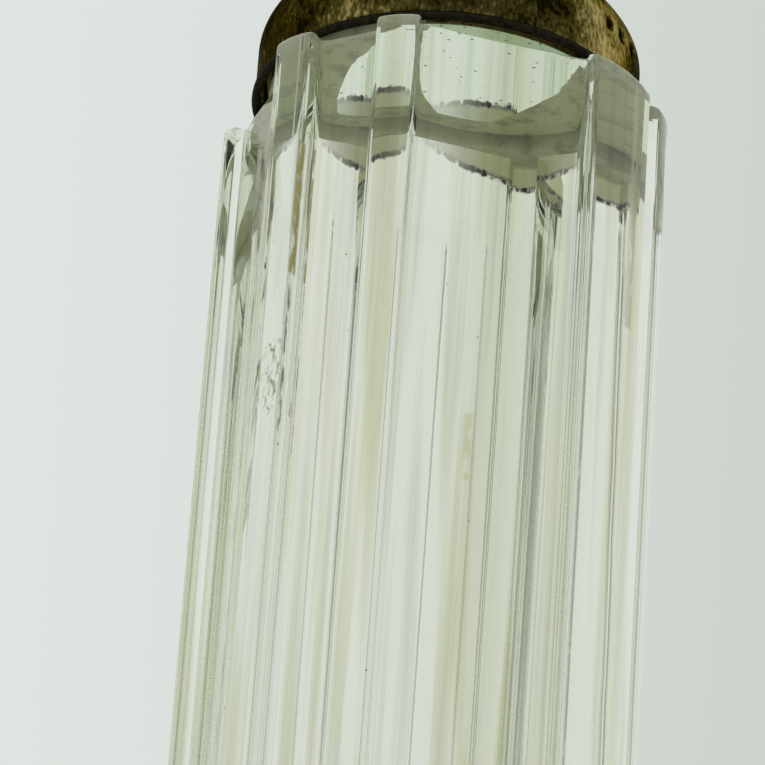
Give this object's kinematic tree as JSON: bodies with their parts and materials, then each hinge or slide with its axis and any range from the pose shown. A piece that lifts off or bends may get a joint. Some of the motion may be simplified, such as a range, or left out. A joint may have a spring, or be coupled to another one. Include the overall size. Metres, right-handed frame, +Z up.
{
  "type": "glass sample vial",
  "caption": "Heavy cut-glass sample vial: ribbed glass column with a shallow well in its neck, closed by a domed gilt screw cap with a rolled rim and a loose cork wad.",
  "frame": {"origin": "middle of the base, on the surface that the vial stands on", "axes": "+Z up along the vial's axis towards the cap, -Y out of one wide panel"},
  "size_m": [0.023, 0.023, 0.0714],
  "materials": {
    "glass": "polished cut glass, faint green-yellow tint",
    "cement": "dull old resin cement",
    "ferrule_brass": "dull, tarnished",
    "cork": "cut cork",
    "plate_brass": "dull",
    "gilt": "worn gilt with dark olive-brown tarnish",
    "gilt_rim": "dark tarnished wire",
    "ring_brass": "dull",
    "boxwood": "turned, unpolished"
  },
  "bodies": {
    "vial": {"glass_body": "glass", "neck_cement": "cement", "neck_ferrule": "ferrule_brass"},
    "seal": {"seal_wad": "cork", "wad_plate": "plate_brass"},
    "cap": {"cap_dome": "gilt", "cap_rim_bead": "gilt_rim", "cap_thread_ring": "ring_brass", "cap_core": "boxwood"}
  },
  "joints": [
    {"name": "cap_lift", "type": "slide", "parent": "vial", "child": "seal", "axis": [0, 0, 1], "range_m": [0, 0.009]},
    {"name": "cap_twist", "type": "hinge", "parent": "seal", "child": "cap", "pos_m": [0, 0, 0.064], "axis": [0, 0, 1], "range_deg": [0, 1080]}
  ],
  "couplings": [
    {"joint": "cap_lift", "follows": "cap_twist", "m_per_rad": 0.00047746}
  ]
}
